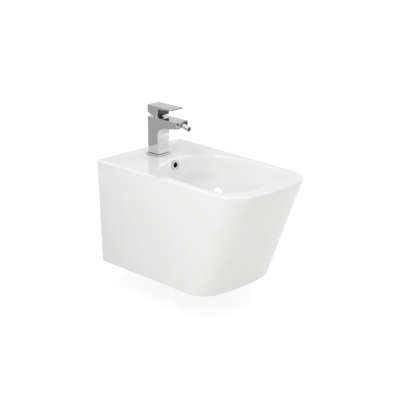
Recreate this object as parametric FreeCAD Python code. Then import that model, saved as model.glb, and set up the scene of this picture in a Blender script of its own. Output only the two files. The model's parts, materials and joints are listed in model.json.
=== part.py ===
"""Wall-hung bidet with a single-lever mixer tap and a click waste. Sizes are in millimetres.

The origin lies on the wall, midway between the two wall fixings. +X is to the right for someone
facing the wall, +Y points into the wall and +Z is up. Round sizes are radii unless named otherwise.
"""
import FreeCAD, Part
import math
import os

from FreeCAD import Vector

# Ceramic body
WIDTH = 340.0
DEPTH = 564.0
HEIGHT = 323.0
RIM_ABOVE_FIXINGS = 85.0
FOOT_WIDTH = 322.0
FOOT_DEPTH = 435.0
SIDE_TAPER = 1.35
FRONT_RADIUS = 560.0
RIM_CORNER = 84.0
FOOT_CORNER = 72.0
RIM_EDGE = 5.5
FOOT_EDGE = 4.0
SIDE_WALL = 9.0
BACK_WALL = 16.0
DECK_THICKNESS = 16.0
BOWL_WALL = 10.0
WINDOW_WIDTH = 160.0
WINDOW_HEIGHT = 165.0

# Bowl
DECK_DEPTH = 143.0
FRONT_RIM = 47.0
SIDE_RIM = 19.0
BOWL_WIDEST = 345.0
BOWL_DEPTH = 138.0
ROLL_DROP = 10.0
BACK_ROLL = 9.0
SIDE_ROLL = 5.0
FRONT_ROLL = 8.0
FRONT_SQUARENESS = 4.3
BACK_SQUARENESS = 2.3
DRAIN_SQUARENESS = 2.0
DRAIN_FROM_WALL = 300.0
DRAIN_FLAT = 40.0

# Overflow
OVERFLOW_DROP = 19.0
OVERFLOW_BORE = 8.0
OVERFLOW_SLEEVE = 10.5
OVERFLOW_SLEEVE_LENGTH = 14.0
OVERFLOW_FLANGE = 14.5
OVERFLOW_FLANGE_THICKNESS = 2.5
OVERFLOW_SEAL = 1.0
OVERFLOW_SPOT_FACE = 1.2
DUCT_BORE = 7.0
DUCT_WALL = 6.5
DUCT_BEHIND_BOWL = 21.0
DUCT_LEAN = 13.0

# Wall fixing
FIXING_SPACING = 180.0
FIXING_HOLE = 6.5
FIXING_SLEEVE_WALL = 2.5
FIXING_FLANGE = 14.0
FIXING_FLANGE_THICKNESS = 3.0
FIXING_WASHER_THICKNESS = 2.5
FIXING_NUT_BORE = 6.15
FIXING_NUT_FLATS = 19.0
FIXING_NUT_HEIGHT = 10.0

# Waste
WASTE_BARREL = 21.5
WASTE_TAIL = 20.95
WASTE_TAIL_LENGTH = 30.0
WASTE_WALL = 3.0
WASTE_FLANGE = 31.5
WASTE_FLANGE_THICKNESS = 3.0
WASTE_CHAMFER = 1.0
WASTE_RECESS = 3.0
WASTE_HOLE_GAP = 1.5
WASTE_BOSS = 38.0
WASTE_BOSS_DEPTH = 36.0
WASTE_SEAL_THICKNESS = 1.5
WASTE_SEAL_WIDTH = 8.0
WASTE_LOWER_SEAL = 5.0
WASTE_NUT_FLATS = 58.0
WASTE_NUT_HEIGHT = 10.0
WASTE_SLOT = 4.0
GALLERY_WIDTH = 6.0
GALLERY_HEIGHT = 14.0
CROSSBAR = 6.0
CROSSBAR_STUD = 4.0
CROSSBAR_STUD_HEIGHT = 8.0

# Click plug
PLUG_TRAVEL = 8.0
PLUG = 28.0
PLUG_THICKNESS = 3.5
PLUG_CROWN = 2.0
PLUG_SEAL_THICKNESS = 2.5
PLUG_SEAL_WIDTH = 4.5
PLUG_SEAL_INSET = 1.0
PLUG_STEM = 5.0
PLUG_STEM_GRIP = 2.0
SLIDER = 8.0
SLIDER_HEIGHT = 9.0
PLUG_HOUSING_WALL = 2.5
PLUG_HOUSING_FLOOR = 9.0
PLUG_GUIDE = 7.0
SPRING_WIRE = 0.5
SPRING_TURNS = 5
SPRING_SPARE = 1.5

# Tap body
TAP_FROM_WALL = 82.0
TAP_HOLE = 17.5
COLUMN_WIDTH = 46.0
COLUMN_DEPTH = 43.0
TAP_EDGE = 0.8
PLATE_OVERHANG = 4.0
PLATE_THICKNESS = 5.0
PLATE_GASKET = 1.0
PLATE_GASKET_INSET = 1.0
FOOT_SEAL = 1.0
FOOT_SEAL_INSET = 1.2
BODY_TOP = 117.0
SPOUT_REACH = 101.0
SPOUT_TIP = 19.0
SPOUT_ROOT = 32.0
SPOUT_FILLET = 24.0
FOOT_BORE = 15.5
WEB_LEVEL = 46.0
INLET_BORE = 5.0
INLET_DEPTH = 14.0
INLET_SPREAD = 16.0
INLET_OFFSET = 5.0
WATERWAY = 5.0

# Tap fixing under the deck
STUD = 4.0
STUD_OFFSET = 9.0
STUD_ENGAGEMENT = 12.0
STUD_TAIL = 12.0
HORSESHOE = 22.0
HORSESHOE_SLOT = 29.0
HORSESHOE_LIP = 2.0
HORSESHOE_GASKET = 3.0
HORSESHOE_WASHER = 2.5
STUD_NUT_FLATS = 13.0
STUD_NUT_HEIGHT = 10.0

# Cartridge
CARTRIDGE = 17.5
CARTRIDGE_WALL = 3.0
CARTRIDGE_ROOF = 3.5
CARTRIDGE_SEAL = 1.0
CARTRIDGE_SEAL_WIDTH = 1.5
CARTRIDGE_PORT = 3.0
CARTRIDGE_BASE = 3.5
FIXED_DISC = 3.5
MOVING_DISC = 3.5
MOVING_DISC_RADIUS = 10.0
CARRIER_FLOOR = 2.0
CARRIER_LIP = 1.5
ROTOR = 8.0
ROTOR_FLANGE = 13.0
ROTOR_FLANGE_THICKNESS = 3.0
NECK_HEIGHT = 6.0
NECK_WALL = 2.3
PIVOT_PIN = 1.5
PIVOT_ABOVE_FLANGE = 2.5
SPINDLE_WIDTH = 8.0
SPINDLE_THICKNESS = 6.0
SPINDLE_SHANK = 4.0
SPINDLE_BALL = 3.0
RING_NUT = 18.8
RING_NUT_HEIGHT = 10.5
RING_NUT_SINK = 0.5
DOME = 14.5
DOME_WALL = 2.5
DOME_HEIGHT = 4.5
DOME_FLANGE = 20.0
DOME_FLANGE_THICKNESS = 0.8

# Lever
LEVER_LENGTH = 101.0
LEVER_GAP = 5.5
LEVER_HEIGHT = 29.5
LEVER_ROOT = 7.5
LEVER_TIP = 3.2
LEVER_EDGE = 0.5
LEVER_CHAMFER_RUN = 15.5
LEVER_CHAMFER_RISE = 7.5
LEVER_POCKET = 17.5
LEVER_POCKET_DEPTH = 17.0
LEVER_BOSS = 8.5
LEVER_BOSS_LIFT = 8.0
LEVER_LIFT = 25.0
SPINDLE_GRIP = 12.0
GRUB_SCREW = 2.5
GRUB_LENGTH = 10.0
GRUB_DROP = 15.0
GRUB_KEY_FLATS = 2.5
BUTTON = 4.0
BUTTON_DEPTH = 3.0

# Swivel nozzle
BALL = 6.5
BALL_INSET = 5.0
SOCKET_WALL = 1.1
SEAT_BORE = 4.5
SEAT_LEAD = 3.0
SEAT_LENGTH = 4.0
SWIVEL_RING = 0.9
COLLAR_FLANGE = 9.0
COLLAR_FLANGE_THICKNESS = 1.5
COLLAR_MOUTH = 5.2
COLLAR_FLARE = 6.5
NOZZLE = 8.0
NOZZLE_NECK = 3.6
NOZZLE_START = 10.5
NOZZLE_SHOULDER = 2.0
NOZZLE_LENGTH = 24.5
NOZZLE_DROOP = 12.0
NOZZLE_BORE = 2.4
AERATOR = 6.4
AERATOR_LENGTH = 9.0
AERATOR_INSET = 1.0
AERATOR_HOLE = 0.8
AERATOR_PITCH = 2.2

# Rounding of chrome trim edges, as a share of their thickness
TRIM_ROUND = 0.4

# Fits, as gaps on the radius or on each side
RUNNING = 0.05
SNUG = 0.1
BALL_GROOVE = 0.15
LOOSE = 0.3
CLEAR = 0.75

UP = Vector(0, 0, 1)
DOWN = Vector(0, 0, -1)
OUT = Vector(0, -1, 0)
INTO_WALL = Vector(0, 1, 0)
ACROSS = Vector(1, 0, 0)

RIM = RIM_ABOVE_FIXINGS
FOOT = RIM - HEIGHT
BOWL_FLOOR = RIM - BOWL_DEPTH
BOWL_BACK = -DECK_DEPTH - BACK_ROLL
DRAIN_Y = -DRAIN_FROM_WALL
FIXING_SLEEVE = FIXING_HOLE + FIXING_SLEEVE_WALL
OVERFLOW_HOLE = OVERFLOW_SLEEVE + LOOSE
OVERFLOW_Z = RIM - OVERFLOW_DROP
OVERFLOW_SEAT = BOWL_BACK + OVERFLOW_SPOT_FACE

WASTE_HOLE = WASTE_BARREL + WASTE_HOLE_GAP
WASTE_SEAT = BOWL_FLOOR - WASTE_RECESS
WASTE_FLANGE_TOP = WASTE_SEAT + WASTE_SEAL_THICKNESS + WASTE_FLANGE_THICKNESS
WASTE_BOSS_END = BOWL_FLOOR - WASTE_BOSS_DEPTH
WASTE_NUT_TOP = WASTE_BOSS_END - WASTE_LOWER_SEAL
WASTE_TAIL_TOP = WASTE_NUT_TOP - WASTE_NUT_HEIGHT
WASTE_END = WASTE_TAIL_TOP - WASTE_TAIL_LENGTH
GALLERY_Z = BOWL_FLOOR - WASTE_BOSS_DEPTH / 2
SPRING_SOLID = 2 * SPRING_WIRE * (SPRING_TURNS + 1) + SPRING_SPARE
SPRING_LENGTH = PLUG_TRAVEL + SPRING_SOLID
PLUG_HOUSING_TOP = WASTE_FLANGE_TOP - SNUG
PLUG_HOUSING_BASE = PLUG_HOUSING_TOP - PLUG_HOUSING_FLOOR - SPRING_LENGTH - PLUG_GUIDE
SPRING_BASE = PLUG_HOUSING_BASE + PLUG_HOUSING_FLOOR
SLIDER_BASE = SPRING_BASE + SPRING_LENGTH
PLUG_UNDERSIDE = WASTE_FLANGE_TOP + PLUG_TRAVEL + PLUG_SEAL_THICKNESS + SNUG

TAP_Y = -TAP_FROM_WALL
COLUMN_BACK = TAP_Y + COLUMN_DEPTH / 2
COLUMN_FRONT = TAP_Y - COLUMN_DEPTH / 2
PLATE_BASE = RIM + PLATE_GASKET
PLATE_TOP = PLATE_BASE + PLATE_THICKNESS
COLUMN_FOOT = PLATE_TOP + FOOT_SEAL
TAP_TOP = RIM + BODY_TOP
WEB = RIM + WEB_LEVEL
DECK_UNDER = RIM - DECK_THICKNESS
STUD_Y = TAP_Y - STUD_OFFSET
STUD_NUT_TOP = DECK_UNDER - HORSESHOE_GASKET - HORSESHOE_WASHER

RING_NUT_TOP = TAP_TOP - RING_NUT_SINK
SHOULDER = RING_NUT_TOP - RING_NUT_HEIGHT
NECK_TOP = SHOULDER + NECK_HEIGHT
ROTOR_FLANGE_TOP = SHOULDER - CARTRIDGE_ROOF - LOOSE
ROTOR_BASE = ROTOR_FLANGE_TOP - ROTOR_FLANGE_THICKNESS
CARRIER_TOP = ROTOR_BASE - LOOSE
SPINDLE_BALL_Z = CARRIER_TOP - CARRIER_LIP
CARRIER_BASE = SPINDLE_BALL_Z - SPINDLE_BALL - LOOSE - CARRIER_FLOOR
MOVING_DISC_BASE = CARRIER_BASE - MOVING_DISC
FIXED_DISC_TOP = MOVING_DISC_BASE - RUNNING
CARTRIDGE_BASE_TOP = FIXED_DISC_TOP - FIXED_DISC
CARTRIDGE_FOOT = CARTRIDGE_BASE_TOP - CARTRIDGE_BASE
CHAMBER_FLOOR = CARTRIDGE_FOOT - CARTRIDGE_SEAL
PIVOT_Z = ROTOR_FLANGE_TOP + PIVOT_ABOVE_FLANGE
NECK = ROTOR + RUNNING + NECK_WALL
CARTRIDGE_CAVITY = CARTRIDGE - CARTRIDGE_WALL

LEVER_BASE = TAP_TOP + LEVER_GAP
LEVER_TOP = LEVER_BASE + LEVER_HEIGHT
LEVER_BOSS_BASE = LEVER_BASE + LEVER_BOSS_LIFT
SPINDLE_TOP = LEVER_BOSS_BASE + SPINDLE_GRIP
GRUB_Z = LEVER_TOP - GRUB_DROP
SPINDLE_BACK = TAP_Y + SPINDLE_THICKNESS / 2

SPOUT_END = TAP_Y - SPOUT_REACH
BALL_CENTRE = Vector(0, SPOUT_END + BALL_INSET, TAP_TOP - SPOUT_TIP / 2)
SOCKET = BALL + SOCKET_WALL
SOCKET_DEPTH = BALL_INSET + SEAT_LEAD + SEAT_LENGTH + 2 * SWIVEL_RING
NOZZLE_AXIS = Vector(0, -math.cos(math.radians(NOZZLE_DROOP)), -math.sin(math.radians(NOZZLE_DROOP)))
NOZZLE_END = NOZZLE_START + NOZZLE_LENGTH


def cylinder(radius, base, axis, length):
    return Part.makeCylinder(radius, length, base, axis)


def ring(outer, inner, base, axis, length):
    return cylinder(outer, base, axis, length).cut(cylinder(inner, base, axis, length))


def block(x, y, z):
    """Box between pairs of limits."""
    return Part.makeBox(x[1] - x[0], y[1] - y[0], z[1] - z[0], Vector(x[0], y[0], z[0]))


def under_column(overhang, z0, z1):
    """Block under the tap's column that stands out from it by an overhang all round."""
    half = COLUMN_WIDTH / 2 + overhang
    return block((-half, half), (COLUMN_FRONT - overhang, COLUMN_BACK + overhang), (z0, z1))


def polygon(points):
    return Part.makePolygon(points + [points[0]])


def side_outline(points):
    """Closed outline in the YZ plane from (y, z) pairs."""
    return polygon([Vector(0, y, z) for y, z in points]).Edges


def slab(edges, width):
    """Prism across X with a closed side outline."""
    face = Part.Face(Part.Wire(edges))
    face.translate(Vector(-width / 2, 0, 0))
    return face.extrude(Vector(width, 0, 0))


def turned(profile):
    """Solid of revolution about Z from (radius, height) pairs."""
    face = Part.Face(polygon([Vector(r, 0, h) for r, h in profile]))
    return face.revolve(Vector(), UP, 360)


def along(shape, base, axis):
    """Moves a shape made about Z to the given base and axis."""
    moved = shape.copy()
    moved.Placement = FreeCAD.Placement(base, FreeCAD.Rotation(UP, axis))
    return moved


def hexagon(flats, base, axis, length):
    corner = flats / math.sqrt(3)
    angles = [math.radians(60 * i) for i in range(6)]
    face = Part.Face(polygon([Vector(corner * math.cos(a), corner * math.sin(a), 0) for a in angles]))
    return along(face.extrude(Vector(0, 0, length)), base, axis)


def united(shapes):
    return shapes[0].fuse(shapes[1:]).removeSplitter()


def edges_at(shape, z, tolerance=1e-6):
    """Edges that lie level at the given height."""
    return [e for e in shape.Edges if abs(e.BoundBox.ZMin - z) < tolerance and e.BoundBox.ZLength < tolerance]


def plan_outline(half_width, depth, corner, z, inset, back):
    """Plan of the casting: straight back and sides, bowed front, rounded front corners."""
    taper = math.radians(SIDE_TAPER)
    inward = Vector(-math.cos(taper), math.sin(taper), 0)
    forward = Vector(-math.sin(taper), -math.cos(taper), 0)
    bow = Vector(0, FRONT_RADIUS - depth, 0)
    start = Vector(half_width, 0, 0) + inward * corner
    offset = start - bow
    half_b = offset.dot(forward)
    c = offset.dot(offset) - (FRONT_RADIUS - corner) ** 2
    centre = start + forward * (math.sqrt(half_b ** 2 - c) - half_b)
    to_front = (centre - bow).normalize()
    radius = corner - inset
    side = centre - inward * radius
    front = bow + to_front * (FRONT_RADIUS - inset)
    middle = centre + (to_front - inward).normalize() * radius
    line = Vector(half_width, 0, 0) + inward * inset
    rear = line + forward * ((back + line.y) / math.cos(taper))

    def right(point):
        return Vector(point.x, point.y, z)

    def left(point):
        return Vector(-point.x, point.y, z)

    return Part.Wire([
        Part.makeLine(left(rear), right(rear)),
        Part.makeLine(right(rear), right(side)),
        Part.Arc(right(side), right(middle), right(front)).toShape(),
        Part.Arc(right(front), Vector(0, inset - depth, z), left(front)).toShape(),
        Part.Arc(left(front), left(middle), left(side)).toShape(),
        Part.makeLine(left(side), left(rear)),
    ])


def casting_outline(z, inset, back):
    def blend(foot, rim):
        return foot + (rim - foot) * (z - FOOT) / HEIGHT

    half_width = blend(FOOT_WIDTH, WIDTH) / 2
    return plan_outline(half_width, blend(FOOT_DEPTH, DEPTH), blend(FOOT_CORNER, RIM_CORNER), z, inset, back)


def bowl_outline(roll, fall, z, grow):
    """One level of the bowl: it rolls in from the rim, then closes toward the drain."""
    def blend(rim, drain):
        return rim + (drain - rim) * fall

    half_width = WIDTH / 2 - BOWL_WIDEST * math.tan(math.radians(SIDE_TAPER)) - SIDE_RIM
    half = blend(half_width - SIDE_ROLL * roll, DRAIN_FLAT) + grow
    middle = blend(-BOWL_WIDEST, DRAIN_Y)
    back = blend(-DECK_DEPTH - BACK_ROLL * roll, DRAIN_Y + DRAIN_FLAT) + grow
    front = blend(FRONT_RIM - DEPTH + FRONT_ROLL * roll, DRAIN_Y - DRAIN_FLAT) - grow
    count = 36
    points = []
    for i in range(count):
        angle = 2 * math.pi * (i / count + 0.25)
        c = math.cos(angle)
        s = math.sin(angle)
        power = blend(BACK_SQUARENESS if s >= 0 else FRONT_SQUARENESS, DRAIN_SQUARENESS)
        share = (abs(c) ** power + abs(s) ** power) ** (-1 / power)
        reach = back - middle if s >= 0 else middle - front
        points.append(Vector(half * share * c, middle + reach * share * s, z))
    return periodic_curve(points)


def periodic_curve(points):
    curve = Part.BSplineCurve()
    curve.interpolate(Points=points, PeriodicFlag=True, Parameters=[float(i) for i in range(len(points) + 1)])
    return curve


def skin(curves):
    """Closed solid with a smooth side through a stack of level periodic curves."""
    rows = [curve.getPoles() for curve in curves]
    steps = [0.0]
    for low, high in zip(rows, rows[1:]):
        steps.append(steps[-1] + sum(a.distanceToPoint(b) for a, b in zip(low, high)) / len(low))
    columns = []
    for i in range(len(rows[0])):
        column = Part.BSplineCurve()
        column.interpolate(Points=[row[i] for row in rows], Parameters=steps)
        columns.append(column)
    surface = Part.BSplineSurface()
    surface.buildFromPolesMultsKnots(
        [column.getPoles() for column in columns],
        curves[0].getMultiplicities(), columns[0].getMultiplicities(),
        curves[0].getKnots(), columns[0].getKnots(),
        True, False, curves[0].Degree, columns[0].Degree)
    side = surface.toShape()
    ends = [edge for edge in side.Edges if edge.BoundBox.ZLength < SNUG]
    shell = Part.makeCompound([side] + [Part.Face(Part.Wire([edge])) for edge in ends])
    shell.sewShape()
    solid = Part.Solid(shell)
    if solid.Volume < 0:
        solid.reverse()
    return solid


def bowl_solid(grow):
    """Hollow of the bowl, or with grow its outer side."""
    stretch = 1 + grow / BOWL_DEPTH
    first = math.radians(12)
    levels = []
    for angle in (12, 32, 52, 71, 90):
        lean = math.radians(angle)
        drop = ROLL_DROP * (1 - math.cos(lean) / math.cos(first))
        levels.append((math.sin(lean), 0.0, drop))
    for angle in (8, 17, 28, 39, 50, 61, 71, 81, 90):
        lean = math.radians(angle)
        drop = ROLL_DROP + (BOWL_DEPTH - ROLL_DROP) * math.sin(lean)
        levels.append((1.0, 1 - math.cos(lean), drop))
    return skin([bowl_outline(roll, fall, RIM - drop * stretch, grow) for roll, fall, drop in levels])


def duct_path():
    """Overflow duct: from behind the overflow ring, down the back of the bowl, to the drain gallery."""
    top = Vector(0, BOWL_BACK + DUCT_BEHIND_BOWL, OVERFLOW_Z)
    end = Vector(0, DRAIN_Y + WASTE_HOLE, GALLERY_Z)
    fall = OVERFLOW_Z - BOWL_FLOOR
    elbow = Vector(0, top.y - fall * math.tan(math.radians(DUCT_LEAN)), BOWL_FLOOR)
    return top, elbow, end


def duct(radius):
    top, elbow, end = duct_path()
    return united([
        Part.makeSphere(radius, top),
        cylinder(radius, top, elbow - top, (elbow - top).Length),
        Part.makeSphere(radius, elbow),
        cylinder(radius, elbow, end - elbow, (end - elbow).Length),
    ])


def fixing_points(y):
    return [Vector(side * FIXING_SPACING / 2, y, 0) for side in (-1, 1)]


def ceramic_body():
    behind = -BACK_WALL
    casting = Part.makeLoft([casting_outline(z, 0, behind) for z in (FOOT, RIM)], True, True)
    for z, size in ((RIM, RIM_EDGE), (FOOT, FOOT_EDGE)):
        edges = [e for e in edges_at(casting, z, 1e-4) if e.CenterOfMass.y < 0]
        casting = casting.makeFillet(size, edges)
    casting = casting.common(block((-WIDTH, WIDTH), (-DEPTH - BACK_WALL, 0), (FOOT - HEIGHT, RIM + HEIGHT)))
    cavity = Part.makeLoft([
        casting_outline(FOOT - BACK_WALL, SIDE_WALL, BACK_WALL),
        casting_outline(DECK_UNDER, SIDE_WALL, BACK_WALL),
    ], True, True)
    drain = Vector(0, DRAIN_Y, BOWL_FLOOR)
    gallery = Vector(0, DRAIN_Y, GALLERY_Z - GALLERY_HEIGHT / 2)
    overflow = Vector(0, OVERFLOW_SEAT, OVERFLOW_Z)
    duct_top = duct_path()[0]
    half_window = WINDOW_WIDTH / 2
    boss_length = duct_top.y + DUCT_BORE + DUCT_WALL - BOWL_BACK
    cavity = cavity.cut([
        bowl_solid(BOWL_WALL),
        duct(DUCT_BORE + DUCT_WALL),
        cylinder(OVERFLOW_HOLE + DUCT_WALL, Vector(0, BOWL_BACK, OVERFLOW_Z), INTO_WALL, boss_length),
        cylinder(WASTE_BOSS, drain, DOWN, WASTE_BOSS_DEPTH),
    ])
    hollows = [
        cavity,
        bowl_solid(0),
        duct(DUCT_BORE),
        cylinder(OVERFLOW_HOLE, overflow, INTO_WALL, duct_top.y - OVERFLOW_SEAT),
        cylinder(OVERFLOW_FLANGE + CLEAR, overflow, OUT, BACK_ROLL),
        cylinder(WASTE_FLANGE + CLEAR, Vector(0, DRAIN_Y, WASTE_SEAT), UP, WASTE_RECESS),
        cylinder(WASTE_HOLE, drain, DOWN, WASTE_BOSS_DEPTH),
        cylinder(WASTE_HOLE + GALLERY_WIDTH, gallery, UP, GALLERY_HEIGHT),
        cylinder(TAP_HOLE, Vector(0, TAP_Y, RIM), DOWN, DECK_THICKNESS),
        block((-half_window, half_window), (-2 * BACK_WALL, BACK_WALL), (FOOT, FOOT + WINDOW_HEIGHT)),
    ]
    hollows += [cylinder(FIXING_SLEEVE + LOOSE, p, OUT, BACK_WALL) for p in fixing_points(0)]
    return casting.cut(hollows)


def overflow_ring():
    """Chrome ring with its sleeve in the overflow hole."""
    face = Vector(0, OVERFLOW_SEAT - OVERFLOW_SEAL, OVERFLOW_Z)
    profile = [
        (OVERFLOW_BORE, -OVERFLOW_SLEEVE_LENGTH),
        (OVERFLOW_SLEEVE, -OVERFLOW_SLEEVE_LENGTH),
        (OVERFLOW_SLEEVE, 0),
        (OVERFLOW_FLANGE, 0),
        (OVERFLOW_FLANGE, OVERFLOW_FLANGE_THICKNESS),
        (OVERFLOW_BORE, OVERFLOW_FLANGE_THICKNESS),
    ]
    shape = turned(profile)
    edge = edges_at(shape, OVERFLOW_FLANGE_THICKNESS)
    return along(shape.makeFillet(OVERFLOW_FLANGE_THICKNESS * TRIM_ROUND, edge), face, OUT)


def overflow_ring_seal():
    base = Vector(0, OVERFLOW_SEAT, OVERFLOW_Z)
    return ring(OVERFLOW_FLANGE - LOOSE, OVERFLOW_SLEEVE + SNUG, base, OUT, OVERFLOW_SEAL)


def wall_fixing_sleeves():
    inner = -BACK_WALL
    sleeves = []
    for wall, face in zip(fixing_points(0), fixing_points(inner)):
        tube = ring(FIXING_SLEEVE, FIXING_HOLE, wall, OUT, BACK_WALL)
        sleeves.append(united([tube, ring(FIXING_FLANGE, FIXING_HOLE, face, OUT, FIXING_FLANGE_THICKNESS)]))
    return Part.makeCompound(sleeves)


def wall_fixing_washers():
    face = -BACK_WALL - FIXING_FLANGE_THICKNESS
    return Part.makeCompound([
        ring(FIXING_FLANGE, FIXING_HOLE, p, OUT, FIXING_WASHER_THICKNESS) for p in fixing_points(face)
    ])


def wall_fixing_nuts():
    face = -BACK_WALL - FIXING_FLANGE_THICKNESS - FIXING_WASHER_THICKNESS
    return Part.makeCompound([
        hexagon(FIXING_NUT_FLATS, p, OUT, FIXING_NUT_HEIGHT).cut(
            cylinder(FIXING_NUT_BORE, p, OUT, FIXING_NUT_HEIGHT)) for p in fixing_points(face)
    ])


def on_drain(z):
    return Vector(0, DRAIN_Y, z)


def waste_body():
    """Flanged tube with overflow slots and a crossbar that carries the plug housing."""
    inner = WASTE_TAIL - WASTE_WALL
    flange_base = WASTE_FLANGE_TOP - WASTE_FLANGE_THICKNESS
    tube = along(turned([
        (inner, WASTE_END),
        (WASTE_TAIL, WASTE_END),
        (WASTE_TAIL, WASTE_TAIL_TOP),
        (WASTE_BARREL, WASTE_TAIL_TOP),
        (WASTE_BARREL, flange_base),
        (WASTE_FLANGE, flange_base),
        (WASTE_FLANGE, WASTE_FLANGE_TOP - WASTE_CHAMFER),
        (WASTE_FLANGE - WASTE_CHAMFER, WASTE_FLANGE_TOP),
        (inner + WASTE_CHAMFER, WASTE_FLANGE_TOP),
        (inner, WASTE_FLANGE_TOP - WASTE_CHAMFER),
    ]), on_drain(0), UP)
    reach = WASTE_TAIL - WASTE_WALL / 2
    half = CROSSBAR / 2
    bar_base = PLUG_HOUSING_BASE - CROSSBAR
    bar = block((-reach, reach), (DRAIN_Y - half, DRAIN_Y + half), (bar_base, PLUG_HOUSING_BASE))
    stud = cylinder(CROSSBAR_STUD, on_drain(bar_base), UP, CROSSBAR + CROSSBAR_STUD_HEIGHT)
    slots = []
    for axis in (ACROSS, INTO_WALL):
        for sign in (-1, 1):
            start = on_drain(GALLERY_Z) + axis * (sign * (inner - WASTE_WALL))
            slots.append(cylinder(WASTE_SLOT, start, axis * sign, 3 * WASTE_WALL))
    return united([tube, bar, stud]).cut(slots)


def waste_upper_seal():
    outer = WASTE_BARREL + WASTE_SEAL_WIDTH
    return ring(outer, WASTE_BARREL + SNUG, on_drain(WASTE_SEAT), UP, WASTE_SEAL_THICKNESS)


def waste_lower_seal():
    outer = WASTE_BARREL + WASTE_SEAL_WIDTH
    return ring(outer, WASTE_BARREL + SNUG, on_drain(WASTE_BOSS_END), DOWN, WASTE_LOWER_SEAL)


def waste_locknut():
    nut = hexagon(WASTE_NUT_FLATS, on_drain(WASTE_NUT_TOP), DOWN, WASTE_NUT_HEIGHT)
    return nut.cut(cylinder(WASTE_BARREL + SNUG, on_drain(WASTE_NUT_TOP), DOWN, WASTE_NUT_HEIGHT))


def plug_housing():
    outer = SLIDER + SNUG + PLUG_HOUSING_WALL
    height = PLUG_HOUSING_TOP - PLUG_HOUSING_BASE
    cup = cylinder(outer, on_drain(PLUG_HOUSING_BASE), UP, height)
    return cup.cut([
        cylinder(SLIDER + SNUG, on_drain(SPRING_BASE), UP, height),
        cylinder(CROSSBAR_STUD + RUNNING, on_drain(PLUG_HOUSING_BASE), UP, CROSSBAR_STUD_HEIGHT + RUNNING),
    ])


def plug_spring():
    """Coil spring of quarter-turn arcs."""
    radius = SLIDER - SPRING_WIRE - CLEAR
    low = SPRING_BASE + SPRING_WIRE + SNUG
    rise = SPRING_LENGTH - 2 * (SPRING_WIRE + SNUG)
    steps = 8 * SPRING_TURNS

    def point(i):
        angle = math.pi * i / 4
        return Vector(radius * math.cos(angle), DRAIN_Y + radius * math.sin(angle), low + rise * i / steps)

    arcs = [Part.Arc(point(i), point(i + 1), point(i + 2)).toShape() for i in range(0, steps, 2)]
    start = point(0)
    section = Part.Wire(Part.makeCircle(SPRING_WIRE, start, arcs[0].tangentAt(arcs[0].FirstParameter)))
    return Part.Wire(arcs).makePipeShell([section], True, False)


def plug_slider():
    """Piston in the plug housing, with the stem that carries the cap."""
    piston = cylinder(SLIDER, on_drain(SLIDER_BASE), UP, SLIDER_HEIGHT)
    stem = cylinder(PLUG_STEM, on_drain(SLIDER_BASE), UP, PLUG_UNDERSIDE + PLUG_STEM_GRIP - SLIDER_BASE)
    return united([piston, stem])


def plug_cap():
    height = PLUG_THICKNESS + PLUG_CROWN
    crown = (PLUG ** 2 + PLUG_CROWN ** 2) / (2 * PLUG_CROWN)
    disc = cylinder(PLUG, on_drain(PLUG_UNDERSIDE), UP, height)
    disc = disc.common(Part.makeSphere(crown, on_drain(PLUG_UNDERSIDE + height - crown)))
    return disc.cut(cylinder(PLUG_STEM + RUNNING, on_drain(PLUG_UNDERSIDE), UP, PLUG_STEM_GRIP + RUNNING))


def plug_seal():
    outer = PLUG - PLUG_SEAL_INSET
    return ring(outer, outer - PLUG_SEAL_WIDTH, on_drain(PLUG_UNDERSIDE), DOWN, PLUG_SEAL_THICKNESS)


def on_tap(z):
    return Vector(0, TAP_Y, z)


def tap_plate_gasket():
    pad = under_column(PLATE_OVERHANG - PLATE_GASKET_INSET, RIM, PLATE_BASE)
    return pad.cut(cylinder(TAP_HOLE, on_tap(RIM), UP, PLATE_GASKET))


def tap_base_plate():
    plate = under_column(PLATE_OVERHANG, PLATE_BASE, PLATE_TOP)
    edges = [e for e in plate.Edges if e.BoundBox.ZMax > PLATE_BASE + SNUG]
    plate = plate.makeFillet(TAP_EDGE, edges)
    return plate.cut(cylinder(FOOT_BORE, on_tap(PLATE_BASE), UP, PLATE_THICKNESS))


def tap_foot_seal():
    pad = under_column(-FOOT_SEAL_INSET, PLATE_TOP, COLUMN_FOOT)
    return pad.cut(cylinder(FOOT_BORE, on_tap(PLATE_TOP), UP, FOOT_SEAL))


def spout_underside():
    """Straight underside of the spout, then the curve down into the column."""
    root = Vector(0, COLUMN_FRONT, TAP_TOP - SPOUT_ROOT)
    tip = Vector(0, SPOUT_END, TAP_TOP - SPOUT_TIP)
    toward_tip = (tip - root).normalize()
    half = DOWN.getAngle(toward_tip) / 2
    bend = root + toward_tip * (SPOUT_FILLET / math.tan(half))
    foot = root + DOWN * (SPOUT_FILLET / math.tan(half))
    bisector = (toward_tip + DOWN).normalize()
    middle = root + bisector * (SPOUT_FILLET / math.sin(half) - SPOUT_FILLET)
    return tip, bend, middle, foot


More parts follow.
